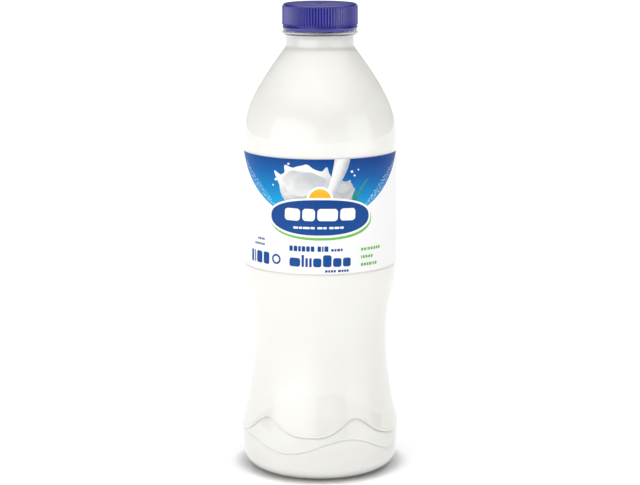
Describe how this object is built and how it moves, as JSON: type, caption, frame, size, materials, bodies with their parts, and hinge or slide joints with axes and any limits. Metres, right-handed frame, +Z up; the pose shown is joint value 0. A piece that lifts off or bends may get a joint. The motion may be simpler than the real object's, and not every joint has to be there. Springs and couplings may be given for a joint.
{
  "type": "round plastic milk bottle with screw cap",
  "caption": "Round clear plastic bottle of milk with a waisted grip, a wrap-around label, a support ring and a ribbed screw cap with a tamper band.",
  "frame": {"origin": "centre of the standing ring, on the surface the bottle stands on", "axes": "+Z up along the bottle's axis to the cap; -Y towards the front of the label; +X to the right seen from the front"},
  "size_m": [0.0961, 0.0956, 0.285],
  "materials": {
    "clear_pet": "clear, glossy blown PET",
    "milk": "opaque white liquid, faintly warm, smooth",
    "label_film": "glossy white printed film",
    "cap_plastic": "satin moulded polyethylene, violet blue"
  },
  "bodies": {
    "root": {"bottle": "clear_pet", "milk": "milk", "label": "label_film", "cap": "cap_plastic", "tamper_band": "cap_plastic"}
  },
  "joints": []
}
